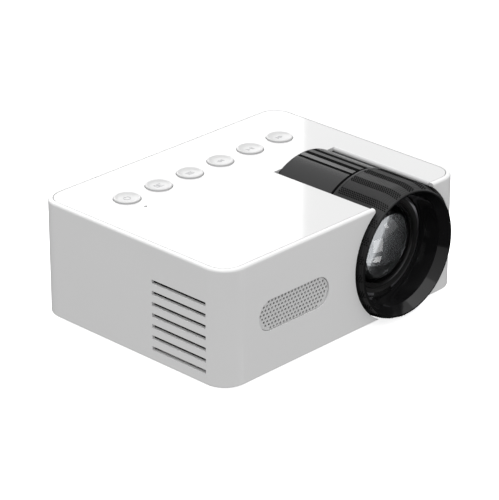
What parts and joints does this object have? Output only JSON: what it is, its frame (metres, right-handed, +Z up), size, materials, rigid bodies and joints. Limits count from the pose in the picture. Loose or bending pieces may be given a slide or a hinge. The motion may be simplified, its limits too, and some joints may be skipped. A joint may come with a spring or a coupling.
{
  "type": "home projector",
  "caption": "Small LED home projector: boxy case, side focus ring over a projection lens, top buttons, speaker, vents, fan, light engine and rear sockets.",
  "frame": {"origin": "on the surface the feet stand on, under the middle of the bounding box", "axes": "+Z up, -Y the way the lens looks, +X to the right for someone facing the lens"},
  "size_m": [0.13, 0.102, 0.0552],
  "materials": {
    "case_white": "satin white ABS",
    "panel_white": "high-gloss white",
    "base_white": "fine moulded texture",
    "button_white": "gloss white",
    "grille_grey": "matt light grey",
    "cowl_black": "gloss black",
    "ring_black": "gloss black, knurled",
    "inner_black": "matt black",
    "anodised_black": "black anodised",
    "foot_rubber": "matt",
    "screw_steel": "zinc plated",
    "clip_steel": "spring steel",
    "brass": "turned",
    "lens_glass": "coated, clear",
    "clear_plastic": "moulded clear",
    "lcd": "dark glass",
    "mirror": "front silvered",
    "reflector": "vacuum metallised",
    "sink_aluminium": "extruded",
    "led_yellow": "phosphor",
    "board_green": "solder mask",
    "chip_black": "moulded epoxy",
    "can_silver": "capacitor can",
    "socket_metal": "nickel plated",
    "socket_black": "moulded nylon",
    "switch_grey": "moulded",
    "speaker_paper": "pressed pulp",
    "speaker_rubber": "surround",
    "magnet_steel": "plated",
    "fan_black": "glass-filled",
    "copper": "enamelled winding",
    "flex_amber": "polyimide",
    "ir_red": "dark red filter",
    "washer_white": "PTFE"
  },
  "bodies": {
    "case": {"housing_frame": "case_white", "top_panel": "panel_white", "bottom_cover": "base_white", "rubber_feet": "foot_rubber", "case_screws": "screw_steel", "tripod_insert": "brass", "speaker_grille": "grille_grey", "lens_cowl": "cowl_black", "tact_switches": "switch_grey", "key_board": "board_green", "indicator_light": "clear_plastic", "lens_tube": "inner_black", "retaining_clip": "clip_steel", "friction_washer": "washer_white", "optical_engine": "inner_black", "engine_lid": "inner_black", "engine_screws": "screw_steel", "heat_glass": "clear_plastic", "fresnel_collimator": "clear_plastic", "lcd_panel": "lcd", "fresnel_field": "clear_plastic", "fold_mirror": "mirror", "condenser_lens": "lens_glass", "light_cone": "reflector", "led_module": "led_yellow", "heatsink": "sink_aluminium", "fan_frame": "fan_black", "fan_stator": "copper", "fan_bearing": "brass", "speaker_basket": "magnet_steel", "speaker_surround": "speaker_rubber", "speaker_magnet": "magnet_steel", "small_screws": "screw_steel", "main_board": "board_green", "board_chips": "chip_black", "board_capacitors": "can_silver", "hdmi_socket": "socket_metal", "usb_socket": "socket_metal", "card_socket": "socket_metal", "av_jack": "socket_black", "dc_jack": "socket_black", "ir_window": "ir_red", "ir_receiver": "chip_black", "lcd_flex": "flex_amber"},
    "focus_ring": {"focus_ring": "ring_black"},
    "lens_barrel": {"lens_barrel": "anodised_black", "barrel_pins": "screw_steel", "front_lens": "lens_glass", "second_lens": "lens_glass", "third_lens": "lens_glass", "rear_lens": "lens_glass", "lens_spacers": "anodised_black"},
    "fan_rotor": {"fan_rotor": "fan_black"},
    "speaker_cone": {"speaker_cone": "speaker_paper"},
    "power_button": {"power_button": "button_white"},
    "source_button": {"source_button": "button_white"},
    "menu_button": {"menu_button": "button_white"},
    "left_button": {"left_button": "button_white"},
    "play_button": {"play_button": "button_white"},
    "right_button": {"right_button": "button_white"}
  },
  "joints": [
    {"name": "focus_turn", "type": "hinge", "parent": "case", "child": "focus_ring", "pos_m": [0.032, -0.038, 0.0281], "axis": [0, 1, 0], "range_deg": [-45, 45]},
    {"name": "lens_slide", "type": "slide", "parent": "case", "child": "lens_barrel", "axis": [0, 1, 0], "range_m": [-0.00252, 0.00252]},
    {"name": "fan_spin", "type": "hinge", "parent": "case", "child": "fan_rotor", "pos_m": [-0.0571, -0.0225, 0.027], "axis": [1, 0, 0], "continuous": true},
    {"name": "cone_travel", "type": "slide", "parent": "case", "child": "speaker_cone", "axis": [0, 1, 0], "range_m": [-0.0004, 0.0004], "stiffness_N_per_m": 1000},
    {"name": "power_press", "type": "slide", "parent": "case", "child": "power_button", "axis": [0, 0, -1], "range_m": [0, 0.0004], "stiffness_N_per_m": 2000, "springref_m": -0.0003},
    {"name": "source_press", "type": "slide", "parent": "case", "child": "source_button", "axis": [0, 0, -1], "range_m": [0, 0.0004], "stiffness_N_per_m": 2000, "springref_m": -0.0003},
    {"name": "menu_press", "type": "slide", "parent": "case", "child": "menu_button", "axis": [0, 0, -1], "range_m": [0, 0.0004], "stiffness_N_per_m": 2000, "springref_m": -0.0003},
    {"name": "left_press", "type": "slide", "parent": "case", "child": "left_button", "axis": [0, 0, -1], "range_m": [0, 0.0004], "stiffness_N_per_m": 2000, "springref_m": -0.0003},
    {"name": "play_press", "type": "slide", "parent": "case", "child": "play_button", "axis": [0, 0, -1], "range_m": [0, 0.0004], "stiffness_N_per_m": 2000, "springref_m": -0.0003},
    {"name": "right_press", "type": "slide", "parent": "case", "child": "right_button", "axis": [0, 0, -1], "range_m": [0, 0.0004], "stiffness_N_per_m": 2000, "springref_m": -0.0003}
  ],
  "couplings": [
    {"joint": "lens_slide", "follows": "focus_turn", "m_per_rad": 0.0031831}
  ]
}
